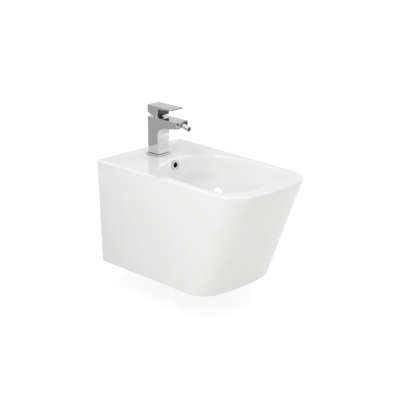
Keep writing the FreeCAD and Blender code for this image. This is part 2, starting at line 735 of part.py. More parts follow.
def tap_body():
    """Cast column and spout with hose bore, inlets, cartridge chamber, waterway and ball socket."""
    tip, bend, middle, foot = spout_underside()
    corners = [
        foot,
        Vector(0, COLUMN_FRONT, COLUMN_FOOT),
        Vector(0, COLUMN_BACK, COLUMN_FOOT),
        Vector(0, COLUMN_BACK, TAP_TOP),
        Vector(0, SPOUT_END, TAP_TOP),
        tip,
        bend,
    ]
    edges = Part.makePolygon(corners).Edges + [Part.Arc(bend, middle, foot).toShape()]
    body = slab(edges, COLUMN_WIDTH)
    above_foot = [e for e in body.Edges if e.BoundBox.ZMax > COLUMN_FOOT + SNUG]
    body = body.makeFillet(TAP_EDGE, [e for e in above_foot if not runs_on(e, (bend, foot))])
    chamber = CARTRIDGE + SNUG
    bore_end = Vector(0, TAP_Y - CARTRIDGE, CARTRIDGE_FOOT + CARTRIDGE_BASE)
    waterway = BALL_CENTRE - bore_end
    cuts = [
        cylinder(FOOT_BORE, on_tap(COLUMN_FOOT), UP, WEB - COLUMN_FOOT),
        cylinder(chamber, on_tap(CHAMBER_FLOOR), UP, TAP_TOP - CHAMBER_FLOOR),
        cylinder(RING_NUT + RUNNING, on_tap(SHOULDER), UP, TAP_TOP - SHOULDER),
        cylinder(STUD + RUNNING, Vector(0, STUD_Y, WEB), UP, STUD_ENGAGEMENT + RUNNING),
        cylinder(WATERWAY, bore_end, waterway, waterway.Length),
        cylinder(SOCKET, Vector(0, SPOUT_END, BALL_CENTRE.z), INTO_WALL, SOCKET_DEPTH),
    ]
    for inlet in inlet_points(WEB):
        cuts.append(cylinder(INLET_BORE, inlet, UP, INLET_DEPTH))
        cuts.append(cylinder(CARTRIDGE_PORT, inlet, UP, CHAMBER_FLOOR - WEB))
    return body.cut(cuts)


def runs_on(edge, ends):
    """True for the level edges at the two ends of the spout curve, where the faces run on smoothly."""
    middle = edge.CenterOfMass
    return any(math.hypot(middle.x, middle.y - p.y, middle.z - p.z) < SNUG for p in ends)


def inlet_points(z):
    return [Vector(side * INLET_SPREAD / 2, TAP_Y + INLET_OFFSET, z) for side in (-1, 1)]


def tap_stud():
    end = STUD_NUT_TOP - STUD_NUT_HEIGHT - STUD_TAIL
    return cylinder(STUD, Vector(0, STUD_Y, end), UP, WEB + STUD_ENGAGEMENT - end)


def horseshoe(z, thickness):
    """Crescent round the stud, open at the back for the hoses."""
    half = HORSESHOE_SLOT / 2
    front = STUD_Y + STUD + SNUG + HORSESHOE_LIP
    disc = cylinder(HORSESHOE, on_tap(z), DOWN, thickness)
    slot = block((-half, half), (front, TAP_Y + HORSESHOE), (z - thickness, z))
    return disc.cut([slot, cylinder(STUD + SNUG, Vector(0, STUD_Y, z), DOWN, thickness)])


def horseshoe_gasket():
    return horseshoe(DECK_UNDER, HORSESHOE_GASKET)


def horseshoe_washer():
    return horseshoe(DECK_UNDER - HORSESHOE_GASKET, HORSESHOE_WASHER)


def tap_stud_nut():
    top = Vector(0, STUD_Y, STUD_NUT_TOP)
    nut = hexagon(STUD_NUT_FLATS, top, DOWN, STUD_NUT_HEIGHT)
    return nut.cut(cylinder(STUD + RUNNING, top, DOWN, STUD_NUT_HEIGHT))


def cartridge_base_seals():
    outer = CARTRIDGE_PORT + CARTRIDGE_SEAL_WIDTH
    return Part.makeCompound([
        ring(outer, CARTRIDGE_PORT, p, UP, CARTRIDGE_SEAL) for p in inlet_points(CHAMBER_FLOOR)
    ])


def cartridge_base():
    """Foot of the cartridge: two inlet ports, and an outlet channel to the front."""
    plate = cylinder(CARTRIDGE, on_tap(CARTRIDGE_FOOT), UP, CARTRIDGE_BASE)
    ports = [cylinder(CARTRIDGE_PORT, p, UP, CARTRIDGE_BASE) for p in inlet_points(CARTRIDGE_FOOT)]
    level = CARTRIDGE_FOOT + CARTRIDGE_BASE / 3
    channel = block((-CARTRIDGE_PORT, CARTRIDGE_PORT), (TAP_Y - CARTRIDGE, TAP_Y - CARTRIDGE_PORT),
                    (level, CARTRIDGE_BASE_TOP))
    return plate.cut(ports + [channel])


def fixed_disc():
    disc = cylinder(CARTRIDGE_CAVITY - SNUG, on_tap(CARTRIDGE_BASE_TOP), UP, FIXED_DISC)
    ports = [cylinder(CARTRIDGE_PORT, p, UP, FIXED_DISC) for p in inlet_points(CARTRIDGE_BASE_TOP)]
    outlet = Vector(0, TAP_Y - 2 * CARTRIDGE_PORT, CARTRIDGE_BASE_TOP)
    return disc.cut(ports + [cylinder(CARTRIDGE_PORT, outlet, UP, FIXED_DISC)])


def moving_disc():
    """Ceramic disc with the mixing hollow in its underside."""
    disc = cylinder(MOVING_DISC_RADIUS, on_tap(MOVING_DISC_BASE), UP, MOVING_DISC)
    return disc.cut(cylinder(2 * CARTRIDGE_PORT, on_tap(MOVING_DISC_BASE), UP, MOVING_DISC / 2))


def disc_carrier():
    """Plate on the moving disc with the groove for the end of the spindle."""
    plate = cylinder(MOVING_DISC_RADIUS, on_tap(CARRIER_BASE), UP, CARRIER_TOP - CARRIER_BASE)
    half_x = SPINDLE_WIDTH / 2 + LOOSE
    half_y = SPINDLE_BALL + BALL_GROOVE
    floor = CARRIER_BASE + CARRIER_FLOOR
    return plate.cut(block((-half_x, half_x), (TAP_Y - half_y, TAP_Y + half_y), (floor, CARRIER_TOP)))


def cartridge_housing():
    cavity_top = SHOULDER - CARTRIDGE_ROOF
    return along(turned([
        (CARTRIDGE_CAVITY, CARTRIDGE_BASE_TOP),
        (CARTRIDGE, CARTRIDGE_BASE_TOP),
        (CARTRIDGE, SHOULDER),
        (NECK, SHOULDER),
        (NECK, NECK_TOP),
        (ROTOR + RUNNING, NECK_TOP),
        (ROTOR + RUNNING, cavity_top),
        (CARTRIDGE_CAVITY, cavity_top),
    ]), on_tap(0), UP)


def cartridge_rotor():
    """Turning piece in the cartridge neck, slotted so that the spindle can tip in it."""
    lean = math.radians(LEVER_LIFT)
    half = SPINDLE_THICKNESS / 2 / math.cos(lean) + BALL_GROOVE
    swing_top = (NECK_TOP - PIVOT_Z) * math.tan(lean) + half
    swing_base = (PIVOT_Z - ROTOR_BASE) * math.tan(lean) + half
    slot = slab(side_outline([
        (TAP_Y - half, NECK_TOP),
        (TAP_Y + swing_top, NECK_TOP),
        (TAP_Y + half, PIVOT_Z),
        (TAP_Y + half, ROTOR_BASE),
        (TAP_Y - swing_base, ROTOR_BASE),
        (TAP_Y - half, PIVOT_Z),
    ]), SPINDLE_WIDTH + 2 * BALL_GROOVE)
    flange = cylinder(ROTOR_FLANGE, on_tap(ROTOR_BASE), UP, ROTOR_FLANGE_THICKNESS)
    shaft = cylinder(ROTOR, on_tap(ROTOR_BASE), UP, NECK_TOP - ROTOR_BASE)
    pin_hole = cylinder(PIVOT_PIN + RUNNING, Vector(-ROTOR, TAP_Y, PIVOT_Z), ACROSS, 2 * ROTOR)
    return united([flange, shaft]).cut([slot, pin_hole])


def spindle_pin():
    half = ROTOR - LOOSE
    return cylinder(PIVOT_PIN, Vector(-half, TAP_Y, PIVOT_Z), ACROSS, 2 * half)


def lever_spindle():
    """Flat spindle on the pin: gripped by the lever above, round end in the disc carrier below."""
    half_x = SPINDLE_WIDTH / 2
    half_y = SPINDLE_THICKNESS / 2
    shank_y = SPINDLE_SHANK / 2
    upper = block((-half_x, half_x), (TAP_Y - half_y, TAP_Y + half_y), (PIVOT_Z - half_y, SPINDLE_TOP))
    lower = block((-half_x, half_x), (TAP_Y - shank_y, TAP_Y + shank_y), (SPINDLE_BALL_Z, PIVOT_Z))
    end = cylinder(SPINDLE_BALL, Vector(-half_x, TAP_Y, SPINDLE_BALL_Z), ACROSS, SPINDLE_WIDTH)
    hole = cylinder(PIVOT_PIN + RUNNING, Vector(-half_x, TAP_Y, PIVOT_Z), ACROSS, SPINDLE_WIDTH)
    return united([upper, lower, end]).cut(hole)


def cartridge_nut():
    nut = ring(RING_NUT, NECK + LOOSE, on_tap(SHOULDER), UP, RING_NUT_HEIGHT)
    reach = RING_NUT + CLEAR
    floor = RING_NUT_TOP - RING_NUT_HEIGHT / 4
    slots = []
    for x, y in ((reach, SPINDLE_SHANK / 2), (SPINDLE_SHANK / 2, reach)):
        bar = block((-x, x), (TAP_Y - y, TAP_Y + y), (floor, RING_NUT_TOP))
        slots.append(bar.cut(cylinder(DOME, on_tap(floor), UP, RING_NUT_HEIGHT)))
    return nut.cut(slots)


def cartridge_dome():
    """Chrome trim ring in the gap under the lever, with a thin flange over the nut."""
    bore = DOME - DOME_WALL
    shape = united([
        ring(DOME, bore, on_tap(TAP_TOP), UP, DOME_HEIGHT),
        ring(DOME_FLANGE, bore, on_tap(TAP_TOP), UP, DOME_FLANGE_THICKNESS),
    ])
    return shape.makeFillet(DOME_WALL * TRIM_ROUND, edges_at(shape, TAP_TOP + DOME_HEIGHT))


def lever_handle():
    """Hollow block over the cartridge with a thin plate to the front."""
    tip = COLUMN_BACK - LEVER_LENGTH
    lever = slab(side_outline([
        (COLUMN_BACK, LEVER_TOP),
        (tip, LEVER_TOP),
        (tip, LEVER_TOP - LEVER_TIP),
        (COLUMN_FRONT, LEVER_TOP - LEVER_ROOT),
        (COLUMN_FRONT, LEVER_BASE),
        (COLUMN_BACK - LEVER_CHAMFER_RUN, LEVER_BASE),
        (COLUMN_BACK, LEVER_BASE + LEVER_CHAMFER_RISE),
    ]), COLUMN_WIDTH)
    lever = lever.makeFillet(LEVER_EDGE, lever.Edges)
    half_x = SPINDLE_WIDTH / 2 + RUNNING
    half_y = SPINDLE_THICKNESS / 2 + RUNNING
    pocket = cylinder(LEVER_POCKET, on_tap(LEVER_BASE), UP, LEVER_POCKET_DEPTH)
    pocket = pocket.cut(cylinder(LEVER_BOSS, on_tap(LEVER_BOSS_BASE), UP, LEVER_HEIGHT))
    screw = Vector(0, TAP_Y, GRUB_Z)
    button = Vector(0, COLUMN_BACK, GRUB_Z)
    return lever.cut([
        pocket,
        block((-half_x, half_x), (TAP_Y - half_y, TAP_Y + half_y), (LEVER_BOSS_BASE, SPINDLE_TOP + RUNNING)),
        cylinder(GRUB_SCREW + RUNNING, screw, INTO_WALL, COLUMN_DEPTH / 2),
        cylinder(BUTTON + RUNNING, button, OUT, BUTTON_DEPTH),
    ])


def lever_grub_screw():
    start = Vector(0, SPINDLE_BACK, GRUB_Z)
    end = start + INTO_WALL * GRUB_LENGTH
    key = hexagon(GRUB_KEY_FLATS, end, OUT, GRUB_LENGTH / 3)
    return cylinder(GRUB_SCREW, start, INTO_WALL, GRUB_LENGTH).cut(key)


def index_button():
    return cylinder(BUTTON, Vector(0, COLUMN_BACK, GRUB_Z), OUT, BUTTON_DEPTH)


def swivel_ring_seal():
    lag = SEAT_LEAD + SEAT_LENGTH + SWIVEL_RING
    centre = BALL_CENTRE + INTO_WALL * lag
    return Part.makeTorus(SOCKET - SWIVEL_RING - SNUG, SWIVEL_RING - RUNNING, centre, OUT)


def ball_seat_ring():
    start = BALL_CENTRE + INTO_WALL * SEAT_LEAD
    shape = ring(SOCKET - LOOSE, SEAT_BORE, start, INTO_WALL, SEAT_LENGTH)
    return shape.cut(Part.makeSphere(BALL + SNUG, BALL_CENTRE))


def swivel_collar():
    """Ring in the spout end that holds the ball and lets the nozzle tip."""
    front = BALL_INSET + COLLAR_FLANGE_THICKNESS
    lip = math.sqrt((BALL + SNUG) ** 2 - COLLAR_MOUTH ** 2)
    shape = turned([
        (0, LOOSE),
        (SOCKET - RUNNING, LOOSE),
        (SOCKET - RUNNING, BALL_INSET),
        (COLLAR_FLANGE, BALL_INSET),
        (COLLAR_FLANGE, front),
        (0, front),
    ])
    shape = shape.makeFillet(COLLAR_FLANGE_THICKNESS * TRIM_ROUND, edges_at(shape, front))
    flare = Part.makeCone(COLLAR_MOUTH, COLLAR_FLARE, front - lip, Vector(0, 0, lip))
    shape = shape.cut([
        Part.makeSphere(BALL + SNUG),
        cylinder(COLLAR_MOUTH, Vector(), UP, front),
        flare,
    ])
    return along(shape, BALL_CENTRE, OUT)


def nozzle():
    """Ball, neck and outlet in one piece, drooping from the spout."""
    body = turned([
        (0, NOZZLE_START),
        (NOZZLE - NOZZLE_SHOULDER, NOZZLE_START),
        (NOZZLE, NOZZLE_START + NOZZLE_SHOULDER),
        (NOZZLE, NOZZLE_END),
        (0, NOZZLE_END),
    ])
    body = body.makeFillet(TAP_EDGE / 2, edges_at(body, NOZZLE_END))
    shape = united([Part.makeSphere(BALL), cylinder(NOZZLE_NECK, Vector(), UP, NOZZLE_START + SNUG), body])
    room = AERATOR_LENGTH + AERATOR_INSET
    shape = shape.cut([
        cylinder(NOZZLE_BORE, Vector(0, 0, -BALL), UP, BALL + NOZZLE_END),
        cylinder(AERATOR + RUNNING, Vector(0, 0, NOZZLE_END - room), UP, room),
    ])
    return along(shape, BALL_CENTRE, NOZZLE_AXIS)


def aerator_insert():
    base = NOZZLE_END - AERATOR_INSET - AERATOR_LENGTH
    insert = cylinder(AERATOR, Vector(0, 0, base), UP, AERATOR_LENGTH)
    holes = [cylinder(AERATOR_HOLE, Vector(0, 0, base), UP, AERATOR_LENGTH)]
    for count, reach in ((6, AERATOR_PITCH), (12, 2 * AERATOR_PITCH)):
        for i in range(count):
            angle = 2 * math.pi * i / count
            spot = Vector(reach * math.cos(angle), reach * math.sin(angle), base)
            holes.append(cylinder(AERATOR_HOLE, spot, UP, AERATOR_LENGTH))
    return along(insert.cut(holes), BALL_CENTRE, NOZZLE_AXIS)


NODES = [
    ceramic_body,
    overflow_ring,
    overflow_ring_seal,
    wall_fixing_sleeves,
    wall_fixing_washers,
    wall_fixing_nuts,
    waste_body,
    waste_upper_seal,
    waste_lower_seal,
    waste_locknut,
    plug_housing,
    plug_spring,
    plug_slider,
    plug_cap,
    plug_seal,
    tap_plate_gasket,
    tap_base_plate,
    tap_foot_seal,
    tap_body,
    tap_stud,
    horseshoe_gasket,
    horseshoe_washer,
    tap_stud_nut,
    cartridge_base_seals,
    cartridge_base,
    fixed_disc,
    moving_disc,
    disc_carrier,
    cartridge_housing,
    cartridge_rotor,
    spindle_pin,
    lever_spindle,
    cartridge_nut,
    cartridge_dome,
    lever_handle,
    lever_grub_screw,
    index_button,
    swivel_ring_seal,
    ball_seat_ring,
    swivel_collar,
    nozzle,
    aerator_insert,
]

os.makedirs("parts", exist_ok=True)
for make in NODES:
    shape = make()
    shape.exportStep(f"parts/{make.__name__}.step")
    print(make.__name__, shape.isValid(), len(shape.Solids), round(shape.Volume, 1))
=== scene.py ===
"""Finishes, fasteners and studio for a wall-hung bidet with a mixer tap and a click waste.

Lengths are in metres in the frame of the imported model: the wall is at y 0, +X is to the right for
someone facing it, and +Z is up. Pattern sizes are given in millimetres.
"""
import json
import math

import bmesh
import bpy
from bpy.props import FloatProperty, FloatVectorProperty, IntProperty, PointerProperty
from mathutils import Matrix, Vector


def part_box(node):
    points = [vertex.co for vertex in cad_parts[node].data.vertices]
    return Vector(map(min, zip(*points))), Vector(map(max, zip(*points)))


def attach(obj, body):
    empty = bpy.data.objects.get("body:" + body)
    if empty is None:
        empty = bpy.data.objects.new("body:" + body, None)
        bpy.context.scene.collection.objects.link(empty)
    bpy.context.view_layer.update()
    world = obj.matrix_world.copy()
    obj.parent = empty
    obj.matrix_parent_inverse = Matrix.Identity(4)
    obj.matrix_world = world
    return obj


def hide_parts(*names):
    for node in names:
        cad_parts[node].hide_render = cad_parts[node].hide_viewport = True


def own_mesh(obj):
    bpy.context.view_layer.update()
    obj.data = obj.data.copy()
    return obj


bl_info = {
    "name": "Wall-hung bidet",
    "version": (1, 0, 0),
    "blender": (4, 5, 0),
    "location": "View3D > Sidebar > Bidet",
    "description": "Dresses the packed bidet with its finishes, fasteners and studio",
    "category": "Object",
}

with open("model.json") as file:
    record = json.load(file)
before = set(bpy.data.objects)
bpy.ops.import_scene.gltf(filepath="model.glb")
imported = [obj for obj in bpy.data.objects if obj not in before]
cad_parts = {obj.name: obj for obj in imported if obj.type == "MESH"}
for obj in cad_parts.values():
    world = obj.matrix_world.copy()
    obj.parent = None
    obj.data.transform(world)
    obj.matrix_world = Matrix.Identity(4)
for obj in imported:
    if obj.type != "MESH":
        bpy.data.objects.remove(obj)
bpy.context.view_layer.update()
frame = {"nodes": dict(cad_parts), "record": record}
NODES = frame["nodes"]
MOUNTS = {mount["name"]: mount for mount in frame["record"]["mounts"]}
MM = 0.001

CHINA = ["ceramic_body"]
CHROME = ["overflow_ring", "waste_body", "plug_cap", "tap_base_plate", "tap_body", "cartridge_dome",
          "lever_handle", "swivel_collar", "nozzle"]
RUBBER = ["overflow_ring_seal", "waste_upper_seal", "waste_lower_seal", "plug_seal", "tap_plate_gasket",
          "tap_foot_seal", "horseshoe_gasket", "cartridge_base_seals", "swivel_ring_seal"]
ZINC = ["wall_fixing_washers", "horseshoe_washer", "spindle_pin", "lever_grub_screw"]
BRASS = ["lever_spindle", "cartridge_nut"]
WHITE_PLASTIC = ["wall_fixing_sleeves", "plug_housing", "cartridge_base", "cartridge_housing",
                 "ball_seat_ring"]
GREY_PLASTIC = ["plug_slider", "disc_carrier", "cartridge_rotor", "aerator_insert"]
ALUMINA = ["fixed_disc", "moving_disc"]
INDEX = ["index_button"]


def linear(code):
    """Linear colour of an sRGB hex code."""
    channels = [int(code[i:i + 2], 16) / 255 for i in (1, 3, 5)]
    return tuple(c / 12.92 if c <= 0.04045 else ((c + 0.055) / 1.055) ** 2.4 for c in channels)


def colour(name, description, code):
    """Colour property with an sRGB hex code as its default."""
    return FloatVectorProperty(name=name, description=description, subtype="COLOR", min=0.0, max=1.0,
                               default=linear(code))


def length(name, description, default):
    """Length property in metres."""
    return FloatProperty(name=name, description=description, subtype="DISTANCE", unit="LENGTH",
                         min=0.0, default=default)


def angle(name, description, degrees):
    """Angle property with its default in degrees."""
    return FloatProperty(name=name, description=description, subtype="ANGLE",
                         default=math.radians(degrees))


def power(name, description, default):
    """Lamp power property in watts."""
    return FloatProperty(name=name, description=description, subtype="POWER", min=0.0, default=default)


class BidetFinishes(bpy.types.PropertyGroup):
    """Colours of the finishes."""

    glaze: colour("Glaze", "White glaze where it lies thick", "#F4F4F4")
    glaze_thin: colour("Thin glaze", "Glaze where it has run thin", "#F1F1F0")
    biscuit: colour("Biscuit", "Bare fired body on the ground wall face", "#DCD5C6")
    # Painted shade: near black stands for the shade deep in the overflow duct, whose unglazed body is pale
    channel: colour("Channel", "Unglazed overflow channel", "#1C1B1A")
    chrome: colour("Chrome", "Polished chrome plate", "#E7E7E7")
    brass: colour("Brass", "Machined brass", "#C9A55C")
    zinc: colour("Zinc", "Bright zinc plate", "#B9BDC0")
    rubber: colour("Rubber", "Black sealing rubber", "#1E1E1F")
    talc: colour("Talc", "Rubber under its dusting of talc", "#333335")
    white_plastic: colour("White plastic", "Natural acetal", "#E4E3DD")
    grey_plastic: colour("Grey plastic", "Grey acetal", "#6E7174")
    alumina: colour("Alumina", "Lapped valve discs", "#EDE6D8")
    hot: colour("Hot mark", "Half of the index button for hot", "#B3262B")
    cold: colour("Cold mark", "Half of the index button for cold", "#2A4FA0")


class BidetFasteners(bpy.types.PropertyGroup):
    """Sizes of the nuts, the tap stud and the plug spring."""

    wall_nut_bore: length("Wall nut bore", "Radius of the thread in the wall nuts", 6.15 * MM)
    stud_nut_bore: length("Stud nut bore", "Radius of the thread in the nut on the tap stud", 4.05 * MM)
    waste_nut_bore: length("Waste nut bore", "Radius of the thread in the waste nut", 21.6 * MM)
    stud_pitch: length("Stud pitch", "Pitch of the thread on the tap stud", 1.25 * MM)
    stud_depth: length("Stud thread depth", "Depth of the thread on the tap stud", 0.65 * MM)
    spring_wire: length("Spring wire", "Radius of the wire of the plug spring", 0.5 * MM)
    spring_turns: IntProperty(name="Spring turns", description="Turns of the plug spring", min=1, default=5)
    plug_travel: length("Plug travel", "How far the plug presses its spring", 8.0 * MM)


class BidetStudio(bpy.types.PropertyGroup):
    """Camera, floor and light."""

    camera_aim: FloatVectorProperty(name="Aim", description="Point that the camera looks at",
                                    subtype="TRANSLATION", unit="LENGTH", default=(0.0, -0.2394, -0.0848))
    camera_azimuth: angle("Azimuth", "Camera's turn about the object", -44.84)
    camera_elevation: angle("Elevation", "Camera's height above the horizon", 19.89)
    camera_roll: angle("Roll", "Camera's turn about its own axis", -0.02)
    camera_distance: length("Distance", "From the camera to the aim point", 3.0967)
    camera_lens: FloatProperty(name="Lens", description="Focal length on a sensor 36 mm wide",
                               subtype="DISTANCE_CAMERA", unit="CAMERA", min=1.0, default=94.5)
    camera_shift: FloatVectorProperty(name="Shift", description="Shift of the lens, in picture widths",
                                      size=2, default=(0.0103, 0.0497))
    rim_height: length("Rim height", "Height of the rim above the floor", 0.4)
    floor: colour("Floor", "Pale floor", "#EAEAE9")
    floor_speckle: colour("Floor speckle", "Darker patches of the floor", "#E6E6E5")
    sky: FloatProperty(name="Sky", description="Strength of the soft light from all round",
                       min=0.0, default=0.77)
    left: power("Left", "Power of the softbox on the left", 8.0)
    right: power("Right", "Power of the softbox on the right", 12.0)
    lamp: power("Lamp", "Power of the small lamp whose highlight lies in the bowl", 3.1)


def add(tree, kind, inputs=None, **settings):
    """Adds a node with its settings, and sets its inputs or links them to outputs."""
    made = tree.nodes.new("ShaderNode" + kind)
    for name, value in settings.items():
        setattr(made, name, value)
    for name, value in (inputs or {}).items():
        if isinstance(value, bpy.types.NodeSocket):
            tree.links.new(value, made.inputs[name])
        else:
            made.inputs[name].default_value = value
    return made


def per_mm(size):
    """Noise scale for a feature of that many millimetres."""
    return 1 / (size * MM)


def new_finish(name):
    """Empty material with its tree and Object coordinates."""
    material = bpy.data.materials.new(name)
    material.use_nodes = True
    material.node_tree.nodes.clear()
    return material, material.node_tree, add(material.node_tree, "TexCoord").outputs["Object"]


def surface(tree, inputs):
    """Principled surface on the output of the material."""
    shader = add(tree, "BsdfPrincipled", inputs)
    add(tree, "OutputMaterial", {"Surface": shader.outputs["BSDF"]})


def rgba(value):
    """Opaque colour for a node's socket."""
    return (*value, 1.0)


def darker(value, share):
    """Opaque colour with that share of its light taken away."""
    return rgba(c * (1 - share) for c in value)


def glazed_china(finishes):
    """Vitreous china under a sprayed white glaze: glassy and a little wavy.

    The wall face is ground bare, and within the unglazed overflow duct the colour is painted near black as
    painted shade for its depth.
    """
    ground = 0.4 * MM
    ground_edge = 0.5 * MM
    channel_inset = 8 * MM
    channel_reach = 15 * MM
    channel_edge = 1 * MM
    material, tree, place = new_finish("glazed_china")
    flow = add(tree, "TexNoise", {"Vector": place, "Scale": per_mm(75), "Detail": 1.0})
    peel = add(tree, "TexNoise", {"Vector": place, "Scale": per_mm(6), "Detail": 1.0})
    tone = add(tree, "Mix", {0: flow.outputs[0], 6: rgba(finishes.glaze_thin), 7: rgba(finishes.glaze)},
               data_type="RGBA")
    axes = add(tree, "SeparateXYZ", {0: place})
    wall = add(tree, "MapRange", {"Value": axes.outputs["Y"], "From Min": -ground - ground_edge,
                                  "From Max": -ground})
    grit = add(tree, "TexNoise", {"Vector": place, "Scale": per_mm(1.5), "Detail": 3.0})
    bare = add(tree, "Mix", {0: grit.outputs[0], 6: darker(finishes.biscuit, 0.12),
                             7: rgba(finishes.biscuit)}, data_type="RGBA")
    base = add(tree, "Mix", {0: wall.outputs[0], 6: tone.outputs[2], 7: bare.outputs[2]}, data_type="RGBA")
    # Painted shade: near black is mixed in around the mouth of the overflow duct behind the ring, for the
    # shade deep in it
    low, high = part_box("overflow_ring")
    mouth = Vector((0, high.y + channel_inset, (low.z + high.z) / 2))
    depth = add(tree, "VectorMath", {0: place, 1: mouth}, operation="DISTANCE")
    painted_shade_mask = add(tree, "MapRange", {"Value": depth.outputs["Value"],
                                    "From Min": channel_reach + channel_edge, "From Max": channel_reach})
    base = add(tree, "Mix", {0: painted_shade_mask.outputs[0], 6: base.outputs[2], 7: rgba(finishes.channel)},
               data_type="RGBA")
    gloss = add(tree, "MapRange", {"Value": flow.outputs[0], "To Min": 0.11, "To Max": 0.07})
    rough = add(tree, "Mix", {0: wall.outputs[0], 2: gloss.outputs[0], 3: 0.85})
    waves = add(tree, "Bump", {"Height": flow.outputs[0], "Distance": 0.10 * MM})
    skin = add(tree, "Bump", {"Height": peel.outputs[0], "Distance": 0.004 * MM,
                              "Normal": waves.outputs[0]})
    surface(tree, {"Base Color": base.outputs[2], "Roughness": rough.outputs[0], "IOR": 1.52,
                   "Normal": skin.outputs[0]})
    return material


def chrome_plate(finishes):
    """Bright chrome over polished brass: a mirror with faint wiping haze."""
    material, tree, place = new_finish("chrome_plate")
    haze = add(tree, "TexNoise", {"Vector": place, "Scale": per_mm(22), "Detail": 4.0})
    tone = add(tree, "Mix", {0: haze.outputs[0], 6: darker(finishes.chrome, 0.05),
                             7: rgba(finishes.chrome)}, data_type="RGBA")
    rough = add(tree, "MapRange", {"Value": haze.outputs[0], "From Min": 0.3, "From Max": 0.75,
                                   "To Min": 0.035, "To Max": 0.075})
    polish = add(tree, "TexNoise", {"Vector": place, "Scale": per_mm(9), "Detail": 1.0})
    bump = add(tree, "Bump", {"Height": polish.outputs[0], "Distance": 0.004 * MM})
    surface(tree, {"Base Color": tone.outputs[2], "Metallic": 1.0, "Roughness": rough.outputs[0],
                   "Normal": bump.outputs[0]})
    return material


def machined_brass(finishes):
    """Turned and milled brass: fine tool lines and a warm, slightly tarnished tone."""
    bands_per_unit = 20
    material, tree, place = new_finish("machined_brass")
    tarnish = add(tree, "TexNoise", {"Vector": place, "Scale": per_mm(7), "Detail": 4.0})
    tone = add(tree, "Mix", {0: tarnish.outputs[0], 6: darker(finishes.brass, 0.3),
                             7: rgba(finishes.brass)}, data_type="RGBA")
    lines = add(tree, "TexWave", {"Vector": place, "Scale": per_mm(1.2) / bands_per_unit,
                                  "Distortion": 0.6}, wave_type="BANDS", bands_direction="Z")
    rough = add(tree, "MapRange", {"Value": tarnish.outputs[0], "To Min": 0.22, "To Max": 0.42})
    bump = add(tree, "Bump", {"Height": lines.outputs[0], "Distance": 0.01 * MM})
    surface(tree, {"Base Color": tone.outputs[2], "Metallic": 1.0, "Roughness": rough.outputs[0],
                   "Normal": bump.outputs[0]})
    return material


def bright_zinc(finishes):
    """Zinc-plated steel: cold grey with a fine mottled plate."""
    material, tree, place = new_finish("bright_zinc")
    cells = add(tree, "TexVoronoi", {"Vector": place, "Scale": per_mm(1.8)})
    tone = add(tree, "Mix", {0: cells.outputs["Distance"], 6: darker(finishes.zinc, 0.22),
                             7: rgba(finishes.zinc)}, data_type="RGBA")
    rough = add(tree, "MapRange", {"Value": cells.outputs["Distance"], "To Min": 0.26, "To Max": 0.4})
    surface(tree, {"Base Color": tone.outputs[2], "Metallic": 1.0, "Roughness": rough.outputs[0]})
    return material


def sealing_rubber(finishes):
    """Moulded EPDM: near black, dull, with a fine grain and a dusting of talc."""
    material, tree, place = new_finish("sealing_rubber")
    talc = add(tree, "TexNoise", {"Vector": place, "Scale": per_mm(5), "Detail": 5.0})
    tone = add(tree, "Mix", {0: talc.outputs[0], 6: rgba(finishes.rubber), 7: rgba(finishes.talc)},
               data_type="RGBA")
    rough = add(tree, "MapRange", {"Value": talc.outputs[0], "To Min": 0.55, "To Max": 0.8})
    grain = add(tree, "TexNoise", {"Vector": place, "Scale": per_mm(0.6)})
    bump = add(tree, "Bump", {"Height": grain.outputs[0], "Distance": 0.03 * MM})
    surface(tree, {"Base Color": tone.outputs[2], "Roughness": rough.outputs[0],
                   "Normal": bump.outputs[0]})
    return material


def moulded_acetal(name, value):
    """Moulded acetal: satin, faintly cloudy, with the fine texture of the mould."""
    material, tree, place = new_finish(name)
    cloud = add(tree, "TexNoise", {"Vector": place, "Scale": per_mm(12), "Detail": 3.0})
    tone = add(tree, "Mix", {0: cloud.outputs[0], 6: darker(value, 0.1), 7: rgba(value)}, data_type="RGBA")
    rough = add(tree, "MapRange", {"Value": cloud.outputs[0], "To Min": 0.34, "To Max": 0.48})
    grain = add(tree, "TexNoise", {"Vector": place, "Scale": per_mm(0.4)})
    bump = add(tree, "Bump", {"Height": grain.outputs[0], "Distance": 0.012 * MM})
    surface(tree, {"Base Color": tone.outputs[2], "Roughness": rough.outputs[0], "IOR": 1.48,
                   "Normal": bump.outputs[0]})
    return material


def lapped_alumina(finishes):
    """Technical ceramic of the valve discs: ivory, fine grained and lapped smooth."""
    material, tree, place = new_finish("lapped_alumina")
    grain = add(tree, "TexNoise", {"Vector": place, "Scale": per_mm(0.8), "Detail": 3.0})
    tone = add(tree, "Mix", {0: grain.outputs[0], 6: darker(finishes.alumina, 0.07),
                             7: rgba(finishes.alumina)}, data_type="RGBA")
    rough = add(tree, "MapRange", {"Value": grain.outputs[0], "To Min": 0.18, "To Max": 0.3})
    surface(tree, {"Base Color": tone.outputs[2], "Roughness": rough.outputs[0], "IOR": 1.76})
    return material


def index_enamel(finishes):
    """Gloss plastic button, one half red for hot and one half blue for cold."""
    seam = 0.1 * MM
    material, tree, place = new_finish("index_enamel")
    axes = add(tree, "SeparateXYZ", {0: place})
    side = add(tree, "MapRange", {"Value": axes.outputs["X"], "From Min": -seam, "From Max": seam})
    tone = add(tree, "Mix", {0: side.outputs[0], 6: rgba(finishes.hot), 7: rgba(finishes.cold)},
               data_type="RGBA")
    mottle = add(tree, "TexNoise", {"Vector": place, "Scale": per_mm(2)})
    rough = add(tree, "MapRange", {"Value": mottle.outputs[0], "To Min": 0.15, "To Max": 0.25})
    surface(tree, {"Base Color": tone.outputs[2], "Roughness": rough.outputs[0]})
    return material


def dress(names, material):
    """Gives CAD nodes a finish."""
    for name in names:
        slots = NODES[name].data.materials
        slots.clear()
        slots.append(material)


